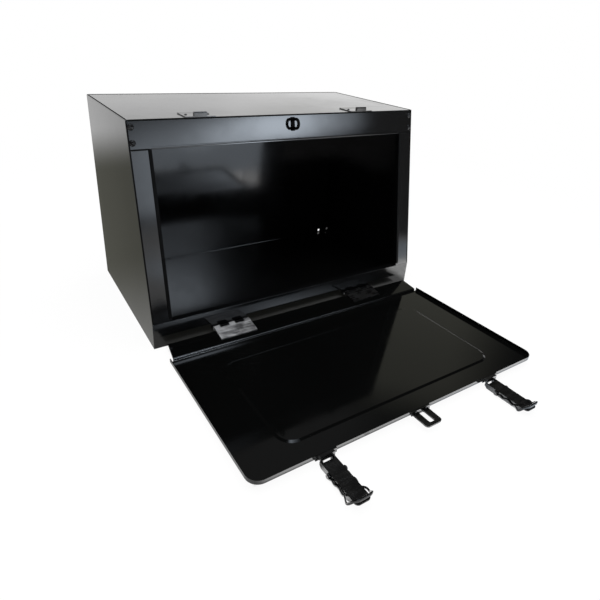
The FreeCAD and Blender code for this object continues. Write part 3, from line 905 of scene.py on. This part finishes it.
@dataclass
class BailSpring:
    """Waved spring bail of a latch: a flat strip curled round its pins and bent into a loop."""

    side: Side
    eye_y: float = -0.556016
    eye_z: float = 0.005294
    tilt: float = math.radians(1.6)
    curl_radius: float = 0.003
    curl_start: float = math.radians(-330.0)
    neck: float = 0.009
    arm_out: float = 0.0141
    loop_out: float = 0.0186
    loop_from: float = 0.032
    corner: float = 0.0115
    length: float = 0.057
    rise: float = 0.0115
    rise_length: float = 0.012
    wave: float = 0.0016
    pitch: float = 0.018
    half_thick: Triple = (0.0011, 0.0011, 0.0015)
    half_height: Triple = (0.00115, 0.0016, 0.0022)
    left_centre: float = -0.18
    right_centre: float = 0.166
    curl_steps: int = 40
    arm_steps: int = 110
    bend_steps: int = 30
    bar_steps: int = 12
    around: int = 24

    @property
    def centre(self) -> float:
        """Place of the latch across the box."""
        return self.left_centre if self.side is Side.LEFT else self.right_centre

    def height(self, t: np.ndarray) -> np.ndarray:
        """Height of the strip above its pins at reach t, with S(q) = 3 q^2 - 2 q^3 on 0 to 1.

        h = -R (1 - S(t / neck)) - wave sin(2 pi (t - neck) / pitch) on the waved part
        + rise S((t - length + rise_length) / rise_length).

        Args:
            t: Reach from the pins.

        Returns:
            The heights.
        """
        climb_from = self.length - self.rise_length
        waved = (t > self.neck) & (t < climb_from)
        wave = np.where(waved, np.sin(2 * math.pi * (t - self.neck) / self.pitch), 0.0)
        low = self.curl_radius * (1 - smooth_step(t / self.neck))
        return self.rise * smooth_step((t - climb_from) / self.rise_length) - low - self.wave * wave

    def half_line(self) -> tuple[np.ndarray, np.ndarray, np.ndarray]:
        """Lay out half of the strip's middle line, from its curled end to the middle of the bar.

        Returns:
            Points x, t, h; the heading of each point from the arm's run; and its stage,
            0 in the curl, 1 on the arm and 2 on the bar.
        """
        turn = np.linspace(self.curl_start, -math.pi / 2, self.curl_steps, endpoint=False)
        round_pin = np.stack([np.cos(turn), np.sin(turn)], -1) * self.curl_radius
        curl = np.column_stack([np.full(self.curl_steps, self.arm_out), round_pin])
        bend_from = self.length - self.corner
        t = np.linspace(0.0, bend_from, self.arm_steps, endpoint=False)
        spread = smooth_step((t - self.loop_from) / (bend_from - self.loop_from))
        x = self.arm_out + (self.loop_out - self.arm_out) * spread
        arm = np.stack([x, t, self.height(t)], -1)
        bend = np.linspace(0.0, math.pi / 2, self.bend_steps, endpoint=False)
        reach = bend_from + self.corner * np.sin(bend)
        inner = self.loop_out - self.corner
        round_end = np.stack([inner + self.corner * np.cos(bend), reach, self.height(reach)], -1)
        bar = np.linspace((inner, self.length, self.rise), (0.0, self.length, self.rise), self.bar_steps)
        across = np.full(self.bar_steps, -math.pi / 2)
        heading = np.concatenate([0 * turn, np.arctan(np.gradient(x, t)), -bend, across])
        marks = ((0.0, 0.5, self.curl_steps), (0.5, 1.0, self.arm_steps), (1.0, 2.0, self.bend_steps),
                 (2.0, 2.0, self.bar_steps))
        stage = np.concatenate([np.linspace(*mark) for mark in marks])
        return np.concatenate([curl, arm, round_end, bar]), heading, stage

    def build(self, shop: Paintshop) -> None:
        """Sweep the strip's section |u / a|^4 + |v / b|^4 = 1 along its line and mirror it.

        Args:
            shop: The finishes.
        """
        line, heading, stage = self.half_line()
        along = np.gradient(line, axis=0)
        along /= np.linalg.norm(along, axis=1, keepdims=True)
        side = np.stack([np.cos(heading), -np.sin(heading), 0 * heading], -1)
        upward = np.cross(side, along)
        upward /= np.linalg.norm(upward, axis=1, keepdims=True)
        thick, tall = (np.interp(stage, (0, 1, 2), sizes)[:, None, None]
                       for sizes in (self.half_thick, self.half_height))
        u, v = oval(self.around, STRIP_OVAL)
        half = line[:, None] + thick * u[:, None] * side[:, None] + tall * v[:, None] * upward[:, None]
        rows = np.concatenate([half, half[-2::-1] * (-1.0, 1.0, 1.0)])
        x, t, h = np.moveaxis(rows, -1, 0)
        cos, sin = math.cos(self.tilt), math.sin(self.tilt)
        y, z = self.eye_y - t * cos + h * sin, self.eye_z + t * sin + h * cos
        solid = closed_rows(np.stack([self.centre + x, y, z], -1))
        body = Body.LEFT_BAIL if self.side is Side.LEFT else Body.RIGHT_BAIL
        make_piece(f"{self.side.value}_bail_spring", [solid], shop.made[shop.hardware.name], body,
                   (f"{self.side.value}_latch_bail",))


@dataclass
class Latch:
    """One lever latch with its strike on the top panel."""

    side: Side
    parts: tuple[str, ...] = ("latch_base", "latch_pins", "latch_lever", "bail_pins", "latch_bail")

    def build(self, shop: Paintshop) -> None:
        """Make the latch's spring bail."""
        BailSpring(self.side).build(shop)

    def dress(self, shop: Paintshop) -> None:
        """Enamel the strike and blacken the rest of the latch.

        Args:
            shop: The finishes.
        """
        shop.dress(f"{self.side.value}_strike", shop.case)
        for part in self.parts:
            shop.dress(f"{self.side.value}_{part}", shop.hardware)


@dataclass
class Card:
    """A soft-edged studio card, bright or dark, that only mirrored rays meet."""

    name: str
    centre: Sequence[float]
    across: Sequence[float]
    upward: Sequence[float]
    colour: Colour
    strength: float
    feather: Pair

    def build(self) -> None:
        """Make the card: centre + u across + v upward, with u and v from -1 to 1."""
        u, v = np.meshgrid((-1.0, 1.0), (-1.0, 1.0), indexing="ij")
        centre, across, upward = np.array([self.centre, self.across, self.upward], float)
        verts = centre + u[..., None] * across + v[..., None] * upward
        mesh = bpy.data.meshes.new(self.name)
        mesh.from_pydata(verts.reshape(-1, 3).tolist(), [], [[0, 2, 3, 1]])
        layer = mesh.uv_layers.new(name="card")
        layer.data.foreach_set("uv", np.array([0, 0, 1, 0, 1, 1, 0, 1], dtype=np.float32))
        mesh.materials.append(self.glow())
        card = add_object(self.name, mesh)
        for kind in ("camera", "diffuse", "shadow", "transmission"):
            setattr(card, f"visible_{kind}", False)
        LOG.info("%s set up", self.name)

    def glow(self) -> Material:
        """Build the card's light: even in the middle and let go towards its edges.

        Returns:
            The card's material.
        """
        material, graph, shader = new_material(self.name)
        graph.tree.nodes.remove(shader)
        place = graph.axes(graph.add("ShaderNodeTexCoord").outputs["UV"])
        soft = []
        for axis, feather in zip("XY", self.feather):
            off = graph.math("ABSOLUTE", graph.math("SUBTRACT", place[axis], 0.5), 0.0)
            soft.append(graph.remap(off, 0.5 - feather, 0.5, 1.0, 0.0))
        light = graph.add("ShaderNodeEmission", in_Strength=self.strength, in_Color=(*self.colour, 1.0))
        graph.cover(graph.math("MULTIPLY", *soft), graph.add("ShaderNodeBsdfTransparent"), light)
        return material


def standing(name: str, bearing: float, away: float, half_width: float, low: float, high: float,
             colour: Colour, strength: float, feather: Pair) -> Card:
    """Set out an upright card that faces the box.

    Args:
        name: The card's name.
        bearing: Its direction from the box, in degrees from straight ahead (-Y) towards +X.
        away: Its distance from the box.
        half_width: Half its width.
        low: Height of its lower edge.
        high: Height of its upper edge.
        colour: Its colour.
        strength: Its brightness, 1 for white paper.
        feather: Share of its width and height over which it lets go.

    Returns:
        The card.
    """
    turn = math.radians(bearing)
    ahead, aside = (math.sin(turn), -math.cos(turn)), (math.cos(turn), math.sin(turn))
    return Card(name, (away * ahead[0], away * ahead[1], (low + high) / 2),
                (half_width * aside[0], half_width * aside[1], 0.0), (0.0, 0.0, (high - low) / 2),
                colour, strength, feather)


def lying(name: str, centre: Pair, half: Pair,
          colour: Colour, strength: float, feather: Pair) -> Card:
    """Set out a card that lies on the floor.

    Args:
        name: The card's name.
        centre: Its middle on the floor.
        half: Half its sides along X and Y.
        colour: Its colour.
        strength: Its brightness, 1 for white paper.
        feather: Share of its sides over which it lets go.

    Returns:
        The card.
    """
    across, upward = np.diag((*half, 0.0))[:2]
    return Card(name, (*centre, CARD_LIFT), across, upward, colour, strength, feather)


COOL: Colour = (0.8, 0.89, 1.0)
OLIVE: Colour = (1.0, 1.0, 0.84)
PLAIN: Colour = (1.0, 1.0, 1.0)


@dataclass
class Studio:
    """Pale floor, soft light and the camera of the photograph."""

    floor_half: float = 14.0
    floor_drop: float = -0.0004
    floor_tone: float = 0.9
    near_white: float = 0.95
    near: float = 0.5
    far: float = 1.5
    stand_centre: Pair = (0.0, -0.1725)
    stand_half: Pair = (0.281, 0.3425)
    stand_blend: float = 0.005
    sky_strength: float = 0.55
    white_top: float = 12.0
    dark_from: float = 21.0
    dark_level: float = 0.02
    behind_from: float = -0.1
    behind_to: float = 0.25
    lamp_place: Triple = (0.1, -0.25, 2.3)
    lamp_size: float = 2.4
    lamp_power: float = 66.0
    pitch: float = -0.4508
    yaw: float = -0.5966
    roll: float = -0.0716
    eye: Triple = (-0.500651, -0.904239, 0.535575)
    focal: float = 488.390
    principal: Pair = (299.426, 264.394)
    image: float = 600.0
    sensor: float = 36.0
    near_clip: float = 0.01
    cards: tuple[Card, ...] = (
        standing("key_softbox", 28.5, 2.8, 0.8, 0.64, 0.91, COOL, 12.2, (0.5, 0.25)),
        standing("side_softbox", 18.5, 8.0, 1.8, 0.1, 1.95, COOL, 3.6, (0.35, 0.2)),
        standing("upper_softbox", 17.0, 8.0, 1.3, 2.75, 4.6, COOL, 5.4, (0.35, 0.2)),
        standing("upper_strip", 17.0, 7.9, 1.2, 4.1, 5.6, COOL, 24.0, (0.35, 0.15)),
        lying("front_floor_glow", (0.45, -1.29), (0.55, 0.85), COOL, 2.0, (0.2, 0.04)),
        Card("overhead_softbox", (0.1, -0.35, 2.2), (0.7, 0.0, 0.0), (0.0, 0.7, 0.0), COOL, 3.5,
             (0.3, 0.3)),
        Card("hem_glow", (0.97, -2.15, 0.0006), (0.33, 0.0, 0.0), (0.57, -1.05, 0.0), COOL, 18.0,
             (0.5, 0.2)),
        lying("far_floor_glow", (1.35, -2.45), (1.1, 0.3), PLAIN, 5.0, (0.2, 0.2)),
        lying("right_floor_glow", (0.45, -0.31), (0.15, 0.22), PLAIN, 5.0, (0.1, 0.1)),
        lying("edge_glow", (0.02, -0.567), (0.33, 0.034), PLAIN, 4.0, (0.12, 0.15)),
        standing("left_flag", -70.0, 1.8, 1.5, -0.3, 1.4, PLAIN, 0.03, (0.04, 0.05)),
        standing("right_flag", 60.0, 2.0, 0.72, -0.3, 1.1, PLAIN, 0.15, (0.1, 0.1)),
        lying("right_shade", (1.65, -1.2), (0.7, 0.8), PLAIN, 0.15, (0.15, 0.15)),
        lying("rear_shade", (-0.5, 0.62), (0.95, 1.25), OLIVE, 0.19, (0.3, 0.35)),
        standing("rear_glow", 138.0, 3.0, 1.45, -0.2, 1.2, PLAIN, 1.25, (0.45, 0.08)),
        standing("side_glow", 131.0, 2.5, 1.2, 0.65, 2.42, OLIVE, 0.27, (0.25, 0.25)),
        standing("ceiling_glow", 150.0, 2.5, 1.4, 2.3, 4.2, PLAIN, 0.13, (0.3, 0.15)),
    )

    def build(self) -> None:
        """Set up the floor, the sky, the lamp, the cards and the camera."""
        self.floor()
        self.sky()
        self.lamp()
        for card in self.cards:
            card.build()
        self.camera()

    def floor(self) -> None:
        """Lay the floor: a flat sheet of half side H, white to the eye and in mirrors.

        The white share is 0 under the box and the open door, near_white beside them, and
        rises to 1 from the near to the far distance.
        """
        half = self.floor_half
        corners = np.array([[-half, -half], [half, -half], [half, half], [-half, half]])
        verts = np.column_stack([corners, np.full(4, self.floor_drop)])
        mesh = bpy.data.meshes.new("floor")
        mesh.from_pydata(verts.tolist(), [], [[0, 1, 2, 3]])
        material, graph, shader = new_material("floor_paper")
        graph.tree.nodes.remove(shader)
        paper = graph.add("ShaderNodeBsdfDiffuse", in_Color=(*[self.floor_tone] * 3, 1.0))
        white = graph.add("ShaderNodeEmission", in_Strength=1.0)
        place = graph.axes(graph.add("ShaderNodeTexCoord").outputs["Object"])
        offs = []
        for axis, middle, reach in zip("XY", self.stand_centre, self.stand_half):
            off = graph.math("ABSOLUTE", graph.math("SUBTRACT", place[axis], middle), 0.0)
            offs.append(graph.math("SUBTRACT", off, reach))
        outside = graph.math("MAXIMUM", *offs)
        share = graph.math("MULTIPLY", graph.remap(outside, -self.stand_blend, self.stand_blend, 0.0, 1.0),
                           graph.remap(outside, self.near, self.far, self.near_white, 1.0))
        graph.cover(graph.math("MULTIPLY", self.seen(graph), share), paper, white)
        mesh.materials.append(material)
        floor = add_object("floor", mesh)

    def seen(self, graph: Graph) -> Socket:
        """Mark the rays that see the background: from the eye, mirrored or passed through.

        Args:
            graph: The tree to add the Light Path node to.

        Returns:
            A socket that is 1 for those rays.
        """
        path = graph.add("ShaderNodeLightPath")
        mirrored = graph.math("MAXIMUM", path.outputs["Is Camera Ray"], path.outputs["Is Glossy Ray"])
        return graph.math("MAXIMUM", mirrored, path.outputs["Is Transmission Ray"])

    def sky(self) -> None:
        """Light the room: even for the paint, white to the eye, white low behind the box in mirrors."""
        world = bpy.data.worlds.new("studio")
        bpy.context.scene.world = world
        world.use_nodes = True
        graph = Graph(world.node_tree)
        back = world.node_tree.nodes["Background"]
        back.inputs["Color"].default_value = (1.0, 1.0, 1.0, 1.0)
        ray = graph.axes(graph.add("ShaderNodeTexCoord").outputs["Generated"])
        low = math.sin(math.radians(self.white_top))
        high = math.sin(math.radians(self.dark_from))
        height = graph.remap(ray["Z"], low, high, 1.0, 0.0)
        behind = graph.remap(ray["Y"], self.behind_from, self.behind_to, 0.0, 1.0)
        backdrop = graph.math("MAXIMUM", graph.math("MULTIPLY", height, behind), self.dark_level)
        path = graph.add("ShaderNodeLightPath")
        plain = graph.math("MAXIMUM", path.outputs["Is Camera Ray"], path.outputs["Is Transmission Ray"])
        mixer = graph.add("ShaderNodeMix", data_type="FLOAT")
        graph.wire(path.outputs["Is Glossy Ray"], mixer.inputs[0])
        mixer.inputs[2].default_value = self.sky_strength
        graph.wire(backdrop, mixer.inputs[3])
        graph.wire(graph.math("MAXIMUM", plain, mixer.outputs[0]), back.inputs["Strength"])

    def lamp(self) -> None:
        """Hang one wide soft lamp over the box."""
        light = bpy.data.lights.new("overhead", "AREA")
        light.size = self.lamp_size
        light.energy = self.lamp_power
        lamp = add_object("overhead", light)
        lamp.location = self.lamp_place
        lamp.visible_camera = False
        lamp.visible_glossy = False

    def camera(self) -> None:
        """Set the camera: turned by yaw about z, then pitch about x, then roll about its own view."""
        turns = (self.yaw, self.pitch, self.roll)
        (cz, sz), (cx, sx), (cy, sy) = ((math.cos(turn), math.sin(turn)) for turn in turns)
        yaw = np.array([[cz, -sz, 0], [sz, cz, 0], [0, 0, 1]])
        pitch = np.array([[1, 0, 0], [0, cx, -sx], [0, sx, cx]])
        roll = np.array([[cy, 0, sy], [0, 1, 0], [-sy, 0, cy]])
        right, ahead, upward = (yaw @ pitch @ roll).T
        lens = bpy.data.cameras.new("camera")
        lens.sensor_width = self.sensor
        lens.lens = self.focal / self.image * self.sensor
        lens.shift_x = (self.image / 2 - self.principal[0]) / self.image
        lens.shift_y = (self.principal[1] - self.image / 2) / self.image
        lens.clip_start = self.near_clip
        eye = add_object("camera", lens)
        turn = np.column_stack([right, upward, -ahead])
        matrix = Matrix(turn.tolist()).to_4x4()
        matrix.translation = self.eye
        eye.matrix_world = matrix
        bpy.context.scene.camera = eye


def main() -> None:
    """Build and dress the box, then set up the studio."""
    logging.basicConfig(level=logging.INFO, format="%(name)s: %(message)s")
    bpy.context.scene.view_settings.view_transform = "Standard"
    shop = Paintshop()
    shop.build()
    case = Case()
    case.build(shop)
    case.dress(shop)
    Door().dress(shop)
    for side in Side:
        Hinge(side).dress(shop)
        latch = Latch(side)
        latch.build(shop)
        latch.dress(shop)
    shop.dress("strike_rivets", shop.hardware)
    shop.dress("latch_rivets", shop.hardware)
    Studio().build()


if __name__ == "__main__":
    main()
